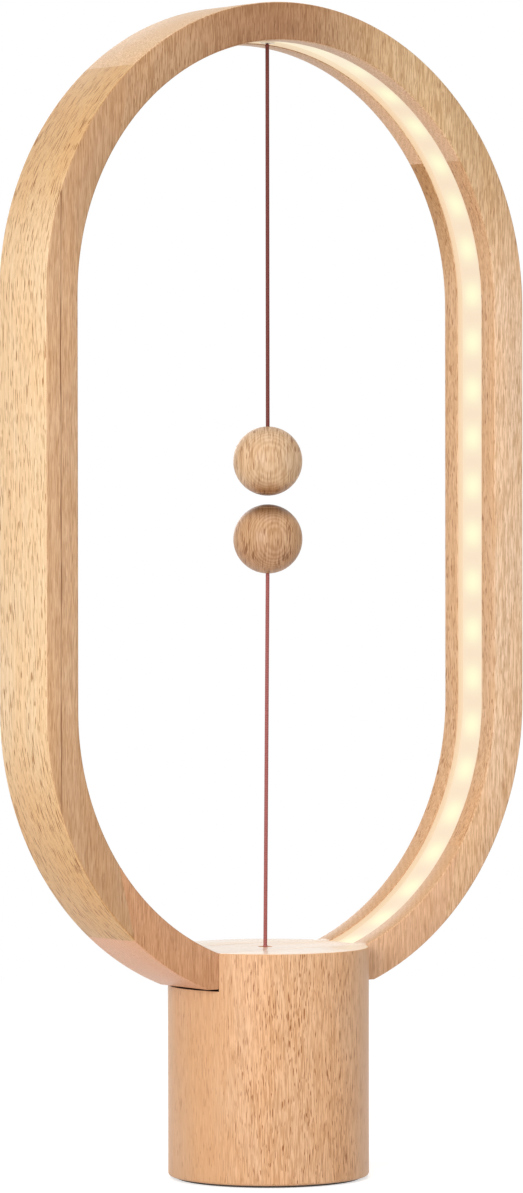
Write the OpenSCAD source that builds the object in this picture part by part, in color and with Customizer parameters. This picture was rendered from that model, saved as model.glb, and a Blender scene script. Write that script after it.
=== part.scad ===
// Balance lamp: a beech hoop stands in the slot of a round beech base.
// One magnetic ball hangs from the crown and another floats up from the base,
// where its cord works the switch. A light strip runs round inside the hoop.
// The hoop lies in the XZ plane, Z is up, and Z = 0 is the underside of the foot pad.

/* [Hoop] */
// Overall width of the hoop
hoop_w = 200; // [180:1:240]
// Height of the straight sides, between the two half rounds
hoop_straight = 136.3; // [100:0.1:200]
// Thickness of the hoop, inner face to outer face
hoop_thick = 12.8; // [12:0.1:15]
// Depth of the hoop, front to back
hoop_depth = 27.8; // [24:0.1:32]
// Length of the flat on top of the foot, inside the hoop
foot_flat = 61.4; // [56:0.1:66]
// Thickness of the flat foot
foot_thick = 12; // [11:0.1:14]
// Angle of each glue line above the horizontal, seen from the half round's centre
seam_angle = 43.5; // [38:0.5:50]
// Lean of each glue line from the vertical
seam_lean = 14.5; // [8:0.5:20]

/* [Light strip] */
// Width of the groove round the hoop's inner face
groove_w = 13.4; // [11:0.1:16]
// Depth of that groove
groove_depth = 6.5; // [6:0.1:8]
// Depth of the milky face below the wood
lens_recess = 1.5; // [0.5:0.1:2]
// Thickness of the milky face
lens_face = 2; // [1:0.1:2.4]
// Thickness of the milky profile's two side walls
lens_wall = 1; // [0.6:0.1:1.4]
// Gap between the milky profile and each side of the groove
lens_gap = 0.1; // [0.05:0.05:0.3]
// Width of the LED tape
tape_w = 8; // [5:0.5:8]
// Thickness of the LED tape
tape_thick = 0.4; // [0.2:0.1:0.6]
// Pitch of the LED chips along the tape
chip_pitch = 16.67; // [10:0.01:25]
// Length of one LED chip along the tape
chip_l = 3.5; // [2:0.1:4]
// Width of one LED chip
chip_w = 2.8; // [2:0.1:4]
// Height of one LED chip
chip_h = 0.8; // [0.5:0.1:1]

/* [Cords and balls] */
// Height of the gap between the two balls
meet_z = 228.95; // [200:0.05:260]
// Diameter of each ball
ball_d = 23.4; // [21:0.1:28]
// Gap that the magnets hold between the balls
ball_gap = 2.7; // [1.5:0.1:6]
// Diameter of the cord
cord_d = 1.3; // [1:0.1:1.5]
// Where the lower cord leaves the base, left of the middle
exit_x = -1.3; // [-2:0.1:-0.5]
// Bore for the cord through each ball
ball_bore = 1.8; // [1.7:0.1:2.4]
// Diameter of the knots
knot_d = 3.6; // [3:0.1:3.8]
// Diameter of the chamber that holds a ball's knot
knot_room_d = 4.2; // [4:0.1:5]
// Diameter of each magnet
magnet_d = 10; // [6:0.5:12]
// Thickness of each magnet
magnet_h = 5; // [3:0.5:6]
// Thickness of the wooden plug over each magnet
plug_h = 2.2; // [2.1:0.1:3]
// Diameter of the bushes that guide the cord
bush_d = 5; // [4.4:0.1:6]
// Bore of those bushes
bush_bore = 1.9; // [1.7:0.1:2.4]
// Length of the bush in the crown
crown_bush_len = 7.2; // [6.8:0.1:7.6]
// Diameter of the bead where a cord bends
bead_d = 1.5; // [1.2:0.1:1.8]
// How far the upper bead's centre is below the crown's inner face
bead_drop = 0.9; // [0.8:0.05:1.2]
// Height of the lower bead's centre above the top of the base
bead_rise = 0.2; // [0.1:0.05:0.4]

/* [Base] */
// Diameter of the base
base_d = 68; // [66:0.5:80]
// Height of the base's top above the table
base_h = 78; // [74:0.5:90]
// Thickness of the base's wall
base_wall = 6; // [5:0.5:7]
// Thickness of the wood between the hollow and the slot
web_thick = 12; // [10:0.5:14]
// Gap between the hoop and each side of the slot
slot_gap = 0.15; // [0.1:0.05:0.4]
// Height of the wood above the table, on its pad
pad_proud = 0.8; // [0.4:0.1:1]
// Thickness of the foot pad
pad_thick = 1.2; // [1.1:0.1:2]
// Thickness of the base cover
cover_thick = 2.8; // [2.5:0.1:4]
// Width of the step that the base cover seats on
step_w = 4; // [3.8:0.1:4.4]
// Thickness of the steel ballast
ballast_thick = 6; // [4:0.5:7]

/* [Electronics] */
// Width of the driver board
board_w = 28; // [26:0.5:30]
// Length of the driver board, front to back
board_l = 38; // [36:0.5:40]
// Thickness of the driver board
board_thick = 1.6; // [1:0.2:2]
// Height of the posts under the driver board
post_h = 8; // [7.5:0.5:10]
// Diameter of those posts
post_d = 5; // [4:0.5:6]
// How far the board sits back from the middle
board_back = 3; // [2:0.5:4]
// Width of the micro-USB socket
usb_w = 7.6; // [7:0.1:8]
// Depth of the micro-USB socket, front to back
usb_l = 5.6; // [5:0.1:6]
// Height of the micro-USB socket
usb_h = 2.7; // [2.4:0.1:3]
// Width of the plug's opening in the base
inlet_w = 12; // [11:0.5:14]
// Height of the plug's opening in the base
inlet_h = 8; // [7:0.5:9]
// Diameter of the wires
wire_d = 1.6; // [1.2:0.1:1.8]
// Size of the bends in the wires
wire_bend = 4; // [3:0.5:5]
// Room between the strip's rising wire and the wall of the base's hollow
lead_inset = 3; // [2:0.5:4]
// How far that wire runs level to the end of the strip
lead_run = 6; // [5:0.5:8]

/* [Switch] */
// Width of the switch case
case_w = 16; // [15.5:0.5:18]
// Length of the switch case, front to back
case_l = 14; // [12:0.5:16]
// Height of the switch case
case_h = 14; // [13.5:0.5:16]
// Wall of the switch case
case_wall = 1.6; // [1.2:0.1:1.8]
// Thickness of the switch lid
lid_thick = 1.6; // [1.2:0.1:2.4]
// Thickness of the case's two ears
ear_thick = 2; // [1.6:0.1:3]
// Diameter of the pull stem
stem_d = 3; // [2.6:0.1:3.2]
// Diameter of the pull stem's head
head_d = 5; // [4.8:0.1:5.6]
// Length of the pull stem's head
head_h = 5.9; // [5.8:0.1:6.6]
// Travel of the pull stem
stem_travel = 3; // [2:0.1:3.2]
// Running gap round the pull stem
stem_gap = 0.05; // [0.02:0.01:0.1]
// Thickness of the contact bridge
bridge_thick = 0.8; // [0.5:0.1:1]
// Room above the contact bridge for the spring
spring_room = 5.1; // [4.5:0.1:6]
// Wire of the return spring
spring_wire = 0.5; // [0.3:0.05:0.6]
// Turns of the return spring
spring_turns = 4; // [3:1:5]
// Thickness of the brass terminals
blade_thick = 0.5; // [0.3:0.1:0.8]
// Width of the brass terminals
blade_w = 4; // [3:0.5:5]

/* [Screws] */
// Diameter of the two screws that hold the hoop
hoop_screw_d = 3.5; // [3:0.1:4]
// Length of those screws under the head
hoop_screw_len = 18; // [16:0.5:20]
// How far each hoop screw stands from the middle
hoop_screw_x = 16; // [14.5:0.5:18]
// Diameter of the small screws
small_screw_d = 2.2; // [1.8:0.1:2.4]
// Length of the small screws under the head
small_screw_len = 9; // [7:0.5:9]
// Diameter of the small screws' heads
small_head_d = 3.2; // [2.9:0.1:3.6]
// Height of the small screws' heads
small_head_h = 1; // [0.8:0.1:1.2]
// Diameter of the hoop screws' heads
hoop_head_d = 6.4; // [5.5:0.1:7]
// Height of the hoop screws' heads
hoop_head_h = 2.4; // [1.8:0.1:3]
// Room round a screw in its hole
screw_gap = 0.05; // [0.03:0.01:0.1]

/* [Hidden] */
$fn = 96;
eps = 0.01;
fine = 0.05;          // glue line, or the gap between two pieces that just meet

// The hoop's half rounds have their centres at low_z and high_z.
outer_r = hoop_w / 2;
inner_r = outer_r - hoop_thick;
low_z = base_h + sqrt(inner_r * inner_r - foot_flat * foot_flat / 4);
high_z = low_z + hoop_straight;
hoop_top = high_z + outer_r;
crown_z = high_z + inner_r;
slot_floor = base_h - foot_thick;
seam_mid_r = inner_r + hoop_thick / 2;
groove_r = inner_r + groove_depth;
strip_x = foot_flat / 2 + 0.3;
lens_r = inner_r + lens_recess;
lens_w = groove_w - 2 * lens_gap;
tape_r = groove_r - 0.1;
chip_r = tape_r - tape_thick;

// The cords and balls.
ball_r = ball_d / 2;
half_pair = ball_r + ball_gap / 2;
upper_ball_z = meet_z + half_pair;
lower_ball_z = meet_z - half_pair;
upper_pivot_z = crown_z - bead_drop;
lower_pivot_z = base_h + bead_rise;
bead_reach = bead_d / 2 + fine;
lower_reach = norm([exit_x, lower_ball_z - lower_pivot_z]);
cord_lean = atan2(-exit_x, lower_ball_z - lower_pivot_z);
magnet_room_d = magnet_d + 0.2;
magnet_top = -ball_r + plug_h + magnet_h;
knot_room_top = magnet_top + knot_room_d;
knot_z = knot_room_top - knot_d / 2 - fine;
crown_bush_z = crown_z - 0.1;
crown_hole_top = crown_bush_z + crown_bush_len + knot_d + 0.25;
guide_z = slot_floor + 0.5;
guide_top = lower_pivot_z - bead_reach;

// The base and what is in it.
base_r = base_d / 2;
cavity_r = base_r - base_wall;
cavity_top = slot_floor - web_thick;
step_r = cavity_r + step_w;
cover_z = pad_thick;
cover_top = cover_z + cover_thick;
cover_r = step_r - 0.2;
cover_screw_r = (cavity_r + step_r) / 2;
cover_screw_angles = [30, 150, 270];
ballast_r = cavity_r - 1;
board_z = cover_top + post_h;
board_top = board_z + board_thick;
post_x = board_w / 2 - 3;
post_room = ballast_r - post_d / 2 - 0.3 - 1;
post_y = min(board_l / 2 - 3.5, sqrt(post_room * post_room - post_x * post_x) - board_back);
usb_mouth_y = board_back + board_l / 2 + 2;
usb_z = board_top + usb_h / 2;
lead_top_z = low_z - drop_at((chip_r + lens_r + lens_face) / 2, strip_x);
lead_x = min(cavity_r - lead_inset, strip_x - lead_run);
lead_hole_r = wire_d / 2 + 0.4;

// The switch hangs from the wood under the slot, around the lower cord's axis.
case_z = cavity_top - case_h;
case_ceiling = cavity_top - case_wall;
bridge_top = case_ceiling - spring_room;
bridge_z = bridge_top - bridge_thick;
collar_h = 1.2;
collar_z = bridge_z - collar_h;
head_z = cavity_top + stem_travel + 0.1;
stem_bottom = case_z - lid_thick - 1;
slot_in_head_h = head_h - 2.2;
head_knot_z = head_z + 1 + slot_in_head_h - knot_d / 2 - fine;
blade_x = case_w / 2 - case_wall - blade_thick;
blade_bottom = case_z - lid_thick - 4;
tab_l = 2.4;
ear_l = 7;
ear_hole_y = case_l / 2 + ear_l / 2;
spring_r = stem_d / 2 + 0.3 + spring_wire / 2;

WOOD = [0.87, 0.70, 0.53];
PALE_WOOD = [0.93, 0.79, 0.64];
MILKY = [1.00, 0.97, 0.84];
CORD_RED = [0.50, 0.16, 0.15];
STEEL = [0.72, 0.73, 0.75];
BRASS = [0.85, 0.68, 0.35];
BLACK = [0.10, 0.10, 0.11];
GREEN = [0.12, 0.42, 0.24];
CREAM = [0.90, 0.88, 0.80];

// Height of a half round of radius r under its centre, at x from the middle.
function drop_at(r, x) = sqrt(r * r - x * x);

// How far a glue line is from the middle, dz past the half round's centre.
function seam_x(dz) = seam_mid_r * cos(seam_angle) - (dz - seam_mid_r * sin(seam_angle)) * tan(seam_lean);

// ---------- shared shapes ----------

// A stadium in X and Z, drawn in X and Y: two half rounds and the straight sides between.
module stadium(r) {
    translate([0, high_z]) circle(r, $fn = 180);
    translate([0, low_z]) circle(r, $fn = 180);
    translate([-r, low_z]) square([2 * r, hoop_straight]);
}

// Raises a drawing of X and Z along Y, with its middle at Y = 0.
module across(depth) {
    translate([0, depth / 2, 0]) rotate([90, 0, 0]) linear_extrude(depth) children();
}

// A band that follows the hoop from one end of the strip to the other.
module strip_band(r_out, r_in) {
    difference() {
        stadium(r_out);
        stadium(r_in);
        translate([-strip_x, low_z - outer_r]) square([2 * strip_x, outer_r]);
    }
}

module hoop_outline() {
    difference() {
        stadium(outer_r);
        difference() {
            stadium(inner_r);
            translate([-outer_r, 0]) square([hoop_w, base_h]);
        }
        translate([-outer_r, 0]) square([hoop_w, slot_floor]);
    }
}

// The part of the hoop's plane that belongs to the crown, or to the foot with way = -1.
module end_zone(centre_z, way) {
    far = outer_r + 1;
    polygon([
        [-seam_x(0), centre_z],
        [seam_x(0), centre_z],
        [seam_x(far), centre_z + way * far],
        [-seam_x(far), centre_z + way * far]
    ]);
}

module groove() {
    across(groove_w) strip_band(groove_r, inner_r - 1);
}

module hoop_side() {
    difference() {
        across(hoop_depth) difference() {
            intersection() {
                hoop_outline();
                translate([-outer_r, 0]) square([outer_r, hoop_top]);
            }
            end_zone(high_z, 1);
            end_zone(low_z, -1);
        }
        groove();
    }
}

// A countersunk or pan-head screw whose shank points up from z = 0.
module screw(d, len, head_d, head_h) {
    translate([0, 0, -head_h]) cylinder(h = head_h, d = head_d, $fn = 32);
    cylinder(h = len, d = d, $fn = 32);
}

// A round tube along a list of points. Each ring is square to the way on from its point.
module tube(points, d, sides = 8) {
    last = len(points) - 1;
    function way(i) = let (a = points[max(i - 1, 0)], b = points[min(i + 1, last)]) (b - a) / norm(b - a);
    function side(w) = let (s = cross(w, [0.13, 1, 0.21])) s / norm(s);
    function ring(i) = let (w = way(i), s = side(w), t = cross(w, s))
        [for (k = [0 : sides - 1]) points[i] + d / 2 * (cos(360 * k / sides) * s + sin(360 * k / sides) * t)];
    corners = [for (i = [0 : last]) each ring(i)];
    walls = [for (i = [0 : last - 1], k = [0 : sides - 1])
        let (a = i * sides + k, b = i * sides + (k + 1) % sides)
        each [[a, b, b + sides], [a, b + sides, a + sides]]];
    starts = [for (k = [1 : sides - 2]) [0, k + 1, k]];
    ends = [for (k = [1 : sides - 2]) [last * sides, last * sides + k, last * sides + k + 1]];
    polyhedron(corners, concat(starts, walls, ends));
}

// A ball with its magnet side down: cord bore, room for the knot, and the magnet's pocket.
module ball_wood() {
    difference() {
        sphere(r = ball_r, $fn = 96);
        translate([0, 0, -ball_r - 1]) cylinder(h = magnet_top + ball_r + 1, d = magnet_room_d);
        translate([0, 0, magnet_top - eps]) cylinder(h = knot_room_d + eps, d = knot_room_d, $fn = 48);
        translate([0, 0, knot_room_top - eps]) cylinder(h = ball_d, d = ball_bore, $fn = 32);
    }
}

module ball_magnet() {
    translate([0, 0, -ball_r + plug_h]) cylinder(h = magnet_h - fine, d = magnet_d);
}

module ball_plug() {
    intersection() {
        sphere(r = ball_r, $fn = 96);
        translate([0, 0, -ball_r - 1]) cylinder(h = plug_h + 1 - fine, d = magnet_room_d - 0.1);
    }
}

module at_upper_ball() {
    translate([0, 0, upper_ball_z]) children();
}

// The lower ball faces up, square to its leaning cord.
module at_lower_ball() {
    translate([0, 0, lower_ball_z]) rotate([0, cord_lean, 0]) mirror([0, 0, 1]) children();
}

module at_posts() {
    for (x = [-post_x, post_x], y = [-post_y, post_y])
        translate([x, board_back + y, 0]) children();
}

module at_cover_screws() {
    for (a = cover_screw_angles)
        rotate([0, 0, a]) translate([cover_screw_r, 0, 0]) children();
}

// ---------- hoop ----------

module hoop_crown() {
    color(PALE_WOOD) difference() {
        across(hoop_depth) intersection() {
            hoop_outline();
            end_zone(high_z, 1);
        }
        groove();
        translate([0, 0, crown_z - 1])
            cylinder(h = crown_hole_top - crown_z + 1, d = bush_d + 2 * fine);
    }
}

module hoop_left_side() {
    color(WOOD) hoop_side();
}

module hoop_right_side() {
    color(WOOD) mirror([1, 0, 0]) hoop_side();
}

module hoop_foot() {
    color(PALE_WOOD) difference() {
        across(hoop_depth) intersection() {
            hoop_outline();
            end_zone(low_z, -1);
        }
        groove();
        translate([exit_x, 0, slot_floor - 1]) cylinder(h = foot_thick + 2, d = bush_d + 2 * fine);
        for (x = [-hoop_screw_x, hoop_screw_x])
            translate([x, 0, slot_floor - 1])
                cylinder(h = hoop_screw_len - web_thick + 2, r = hoop_screw_d / 2 + screw_gap, $fn = 32);
        translate([lead_x, 0, slot_floor - 1]) cylinder(h = lead_top_z - slot_floor + 1, r = lead_hole_r, $fn = 32);
        translate([lead_x, 0, lead_top_z])
            rotate([0, 90, 0]) cylinder(h = strip_x - lead_x + 2, r = lead_hole_r, $fn = 32);
        translate([lead_x, 0, lead_top_z]) sphere(r = lead_hole_r, $fn = 32);
    }
}

// ---------- light strip ----------

module strip_lens() {
    color(MILKY) difference() {
        union() {
            across(lens_w) strip_band(lens_r + lens_face, lens_r);
            for (way = [-1, 1])
                translate([0, way * (lens_w - lens_wall) / 2, 0])
                    across(lens_wall) strip_band(groove_r, lens_r);
        }
        translate([0, 0, crown_z]) cylinder(h = groove_depth + 1, d = bush_d + 2 * fine);
    }
}

module led_tape() {
    color(CREAM) difference() {
        across(tape_w) strip_band(tape_r, tape_r - tape_thick);
        translate([0, 0, crown_z]) cylinder(h = groove_depth + 1, d = bush_d + 2 * fine);
    }
}

// The chips stand on the tape at one pitch, from half a pitch beside the crown.
module led_chips() {
    quarter = chip_r * PI / 2;
    low_end = chip_r * acos(strip_x / chip_r) * PI / 180;
    run = quarter + hoop_straight + low_end;
    count = floor((run - chip_l - 2) / chip_pitch + 0.5);
    color(CREAM) for (way = [-1, 1], i = [0 : count - 1]) {
        s = (i + 0.5) * chip_pitch;
        above = min(s, quarter);
        below = max(s - quarter - hoop_straight, 0);
        turn = (above + below) / chip_r * 180 / PI;
        z = high_z - max(min(s - quarter, hoop_straight), 0);
        translate([0, 0, z]) rotate([0, way * turn, 0])
            translate([-chip_l / 2, -chip_w / 2, chip_r - chip_h - fine]) cube([chip_l, chip_w, chip_h]);
    }
}

// From the board up the base and through the foot to the end of the tape.
module led_lead() {
    far_x = strip_x + wire_d * 1.5;
    far_z = low_z - drop_at(chip_r, far_x) + wire_d / 2 + 2 * fine;
    pad = [board_w / 2 - 1.5 * wire_bend, board_back - 2.5 * wire_bend, board_top];
    color(BLACK) tube([
        pad,
        pad + [0, 0, wire_bend],
        [lead_x - wire_bend, pad.y / 2, board_top + 2 * wire_bend],
        [lead_x - wire_bend / 4, pad.y / 8, board_top + 3 * wire_bend],
        [lead_x, 0, board_top + 4 * wire_bend],
        [lead_x, 0, lead_top_z - wire_bend / 2],
        [lead_x + wire_bend / 6, 0, lead_top_z - wire_bend / 6],
        [lead_x + wire_bend / 2, 0, lead_top_z],
        [strip_x, 0, lead_top_z],
        [far_x, 0, far_z]
    ], wire_d);
}

// ---------- cords and balls ----------

module crown_bush() {
    color(MILKY) translate([0, 0, crown_bush_z]) difference() {
        cylinder(h = crown_bush_len, d = bush_d);
        translate([0, 0, -1]) cylinder(h = crown_bush_len + 2, d = bush_bore, $fn = 32);
    }
}

// The cord's fixed end: it rises through the bush and is knotted above it.
module crown_knot() {
    start_z = upper_pivot_z + bead_reach;
    knot_centre = crown_bush_z + crown_bush_len + knot_d / 2 + fine;
    color(CORD_RED) {
        translate([0, 0, start_z]) cylinder(h = knot_centre - start_z, d = cord_d, $fn = 24);
        translate([0, 0, knot_centre]) sphere(d = knot_d, $fn = 32);
    }
}

module upper_cord_bead() {
    color(CORD_RED) translate([0, 0, upper_pivot_z]) sphere(d = bead_d, $fn = 32);
}

module upper_cord() {
    end_z = upper_ball_z + knot_z;
    color(CORD_RED) {
        translate([0, 0, end_z])
            cylinder(h = upper_pivot_z - bead_reach - end_z, d = cord_d, $fn = 24);
        translate([0, 0, end_z]) sphere(d = knot_d, $fn = 32);
    }
}

module upper_ball() {
    color(WOOD) at_upper_ball() ball_wood();
}

module upper_magnet() {
    color(STEEL) at_upper_ball() ball_magnet();
}

module upper_plug() {
    color(WOOD) at_upper_ball() ball_plug();
}

module lower_ball() {
    color(WOOD) at_lower_ball() ball_wood();
}

module lower_magnet() {
    color(STEEL) at_lower_ball() ball_magnet();
}

module lower_plug() {
    color(WOOD) at_lower_ball() ball_plug();
}

module lower_cord() {
    color(CORD_RED) translate([exit_x, 0, lower_pivot_z]) rotate([0, cord_lean, 0]) {
        translate([0, 0, bead_reach])
            cylinder(h = lower_reach - knot_z - bead_reach, d = cord_d, $fn = 24);
        translate([0, 0, lower_reach - knot_z]) sphere(d = knot_d, $fn = 32);
    }
}

module lower_cord_bead() {
    color(CORD_RED) translate([exit_x, 0, lower_pivot_z]) sphere(d = bead_d, $fn = 32);
}

module cord_guide() {
    color(MILKY) translate([exit_x, 0, guide_z]) difference() {
        cylinder(h = guide_top - guide_z, d = bush_d);
        translate([0, 0, -1]) cylinder(h = foot_thick + 2, d = bush_bore, $fn = 32);
    }
}

// ---------- switch ----------

// The lower cord's hidden end, knotted in the head of the pull stem.
module pull_cord() {
    color(CORD_RED) translate([exit_x, 0, head_knot_z]) {
        cylinder(h = guide_top - head_knot_z, d = cord_d, $fn = 24);
        sphere(d = knot_d - 0.4, $fn = 32);
    }
}

module pull_stem() {
    color("white") translate([exit_x, 0, 0]) {
        difference() {
            translate([0, 0, head_z]) cylinder(h = head_h, d = head_d, $fn = 48);
            translate([-knot_d / 2, -head_d, head_z + 1]) cube([knot_d, 2 * head_d, slot_in_head_h]);
            translate([0, 0, head_z + 1]) cylinder(h = head_h, d = cord_d + 0.4, $fn = 32);
        }
        translate([0, 0, stem_bottom]) cylinder(h = head_z - stem_bottom, d = stem_d, $fn = 48);
        translate([0, 0, collar_z]) cylinder(h = collar_h, d = stem_d + 2.4, $fn = 48);
    }
}

module contact_bridge() {
    half = blade_x - 0.6;
    color(BRASS) translate([exit_x, 0, bridge_z]) difference() {
        translate([-half, -blade_w / 2, 0]) cube([2 * half, blade_w, bridge_thick]);
        translate([0, 0, -1]) cylinder(h = bridge_thick + 2, r = stem_d / 2 + stem_gap, $fn = 48);
    }
}

// An open coil between the bridge and the ceiling of the case.
module return_spring() {
    steps = 16 * spring_turns;
    low = bridge_top + spring_wire / 2 + fine;
    rise = spring_room - spring_wire - 2 * fine;
    coil = [for (i = [0 : steps]) let (a = 360 * i * spring_turns / steps)
        [exit_x + spring_r * cos(a), spring_r * sin(a), low + rise * i / steps]];
    echo(spring_gap_mm = rise / spring_turns - spring_wire);
    color(STEEL) tube(coil, spring_wire, 6);
}

module switch_case() {
    color(BLACK) translate([exit_x, 0, 0]) difference() {
        union() {
            translate([-case_w / 2, -case_l / 2, case_z]) cube([case_w, case_l, case_h]);
            translate([-case_w / 4, -case_l / 2 - ear_l, cavity_top - ear_thick])
                cube([case_w / 2, case_l + 2 * ear_l, ear_thick]);
        }
        translate([case_wall - case_w / 2, case_wall - case_l / 2, case_z - 1])
            cube([case_w - 2 * case_wall, case_l - 2 * case_wall, case_h - case_wall + 1]);
        translate([0, 0, case_z]) cylinder(h = case_h + 1, r = stem_d / 2 + stem_gap, $fn = 48);
        for (way = [-1, 1])
            translate([0, way * ear_hole_y, case_z])
                cylinder(h = case_h + 1, r = small_screw_d / 2 + screw_gap, $fn = 32);
    }
}

module switch_lid() {
    color(BLACK) translate([exit_x, 0, case_z - lid_thick]) difference() {
        translate([-case_w / 2, -case_l / 2, 0]) cube([case_w, case_l, lid_thick]);
        translate([0, 0, -1]) cylinder(h = lid_thick + 2, r = stem_d / 2 + stem_gap, $fn = 48);
        for (way = [-1, 1])
            translate([way * (blade_x + blade_thick / 2), 0, lid_thick / 2])
                cube([blade_thick + 0.4, blade_w + 0.4, lid_thick + 2], center = true);
    }
}

// Two blades stand against the case's walls. The bridge touches their bent tops.
module switch_terminals() {
    tab_z = bridge_top + 0.1;
    color(BRASS) for (way = [0, 1]) translate([exit_x, 0, 0]) mirror([way, 0, 0]) {
        translate([blade_x, -blade_w / 2, blade_bottom])
            cube([blade_thick, blade_w, tab_z + blade_thick - blade_bottom]);
        translate([blade_x - tab_l, -blade_w / 2, tab_z]) cube([tab_l + eps, blade_w, blade_thick]);
    }
}

module switch_screws() {
    color(STEEL) for (way = [-1, 1])
        translate([exit_x, way * ear_hole_y, cavity_top - ear_thick])
            screw(small_screw_d, small_screw_len, small_head_d, small_head_h);
}

// Two wires from the terminals down to the board.
module switch_lead() {
    color(BLACK) for (way = [-1, 1]) {
        x = exit_x + way * (blade_x + blade_thick / 2);
        pad_x = way * wire_bend;
        tube([
            [x, 0, blade_bottom - fine],
            [x, 0, blade_bottom - wire_bend],
            [(x + pad_x) / 2, -case_l / 4, (blade_bottom + board_top) / 2],
            [pad_x, -case_l / 2, board_top + wire_bend],
            [pad_x, -case_l / 2, board_top]
        ], wire_d);
    }
}

// ---------- base ----------

module base_body() {
    slot_w = hoop_depth + 2 * slot_gap;
    color(WOOD) difference() {
        translate([0, 0, pad_proud]) cylinder(h = base_h - pad_proud, r = base_r, $fn = 180);
        translate([-base_r - 1, -slot_w / 2, slot_floor]) cube([base_d + 2, slot_w, foot_thick + 1]);
        cylinder(h = cavity_top, r = cavity_r, $fn = 180);
        cylinder(h = cover_top, r = step_r, $fn = 180);
        translate([exit_x, 0, cavity_top - 1]) cylinder(h = web_thick + 2, d = head_d + 1.4, $fn = 48);
        for (x = [-hoop_screw_x, hoop_screw_x])
            translate([x, 0, cavity_top - 1])
                cylinder(h = web_thick + 2, r = hoop_screw_d / 2 + screw_gap, $fn = 32);
        translate([lead_x, 0, cavity_top - 1]) cylinder(h = web_thick + 2, r = lead_hole_r, $fn = 32);
        for (way = [-1, 1])
            translate([exit_x, way * ear_hole_y, cavity_top - 1])
                cylinder(h = small_screw_len - ear_thick + 1.5, r = small_screw_d / 2 + screw_gap, $fn = 32);
        at_cover_screws() translate([0, 0, cover_top - 1])
            cylinder(h = small_screw_len - cover_thick + small_head_h + 1.5, r = small_screw_d / 2 + screw_gap, $fn = 32);
        translate([-inlet_w / 2, 0, usb_z - inlet_h / 2]) cube([inlet_w, base_r + 1, inlet_h]);
    }
}

// A turned disc with four posts for the board and countersinks for its own screws.
module base_cover() {
    color(BLACK) difference() {
        union() {
            translate([0, 0, cover_z]) cylinder(h = cover_thick, r = cover_r, $fn = 180);
            at_posts() translate([0, 0, cover_top - eps]) cylinder(h = post_h + eps, d = post_d, $fn = 32);
        }
        at_posts() translate([0, 0, board_top - small_screw_len - 0.5])
            cylinder(h = small_screw_len + 1, r = small_screw_d / 2 + screw_gap, $fn = 32);
        at_cover_screws() translate([0, 0, cover_z - 1]) {
            cylinder(h = cover_thick + 2, r = small_screw_d / 2 + screw_gap, $fn = 32);
            cylinder(h = small_head_h + 1, r = small_head_d / 2 + screw_gap, $fn = 32);
        }
    }
}

module cover_screws() {
    color(STEEL) at_cover_screws() translate([0, 0, cover_z + small_head_h])
        screw(small_screw_d, small_screw_len, small_head_d, small_head_h);
}

module foot_pad() {
    color(BLACK) cylinder(h = pad_thick, r = cover_r - 0.5, $fn = 180);
}

// Steel disc that keeps the lamp upright, drilled for the four posts.
module ballast_disc() {
    color(STEEL) difference() {
        translate([0, 0, cover_top]) cylinder(h = ballast_thick, r = ballast_r, $fn = 180);
        at_posts() translate([0, 0, cover_top - 1]) cylinder(h = ballast_thick + 2, d = post_d + 0.6, $fn = 32);
    }
}

module driver_board() {
    color(GREEN) difference() {
        translate([-board_w / 2, board_back - board_l / 2, board_z]) cube([board_w, board_l, board_thick]);
        at_posts() translate([0, 0, board_z - 1])
            cylinder(h = board_thick + 2, r = small_screw_d / 2 + screw_gap, $fn = 32);
    }
}

// Inductor, two capacitors and the driver chip, soldered to the board.
module board_parts() {
    color(BLACK) translate([0, board_back, board_top]) {
        translate([-6, -1.5, 0]) cylinder(h = 4, d = 6, $fn = 32);
        translate([1, -2, 0]) cube([5, 4, 1.5]);
        for (x = [-5, 6]) translate([x, 7, 0]) cylinder(h = 6, d = 5, $fn = 32);
    }
}

module usb_socket() {
    shell = 0.4;
    color(STEEL) translate([-usb_w / 2, usb_mouth_y - usb_l, board_top]) difference() {
        cube([usb_w, usb_l, usb_h]);
        translate([shell, 1, shell]) cube([usb_w - 2 * shell, usb_l, usb_h - 2 * shell]);
    }
}

module board_screws() {
    color(STEEL) at_posts() translate([0, 0, board_top]) mirror([0, 0, 1])
        screw(small_screw_d, small_screw_len, small_head_d, small_head_h);
}

module hoop_screws() {
    color(STEEL) for (x = [-hoop_screw_x, hoop_screw_x])
        translate([x, 0, cavity_top]) screw(hoop_screw_d, hoop_screw_len, hoop_head_d, hoop_head_h);
}

hoop_crown();
hoop_left_side();
hoop_right_side();
hoop_foot();
strip_lens();
led_tape();
led_chips();
led_lead();
crown_bush();
crown_knot();
upper_cord_bead();
upper_cord();
upper_ball();
upper_magnet();
upper_plug();
lower_ball();
lower_magnet();
lower_plug();
lower_cord();
lower_cord_bead();
cord_guide();
pull_cord();
pull_stem();
contact_bridge();
return_spring();
switch_case();
switch_lid();
switch_terminals();
switch_screws();
switch_lead();
base_body();
base_cover();
cover_screws();
foot_pad();
ballast_disc();
driver_board();
board_parts();
usb_socket();
board_screws();
hoop_screws();
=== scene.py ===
"""The balance lamp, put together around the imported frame: a glued beech hoop on a turned base,
a glowing strip round its inner face, and two magnetic balls that meet on red cords."""
import math

import bmesh
import bpy
from mathutils import Euler, Matrix, Vector


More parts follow.
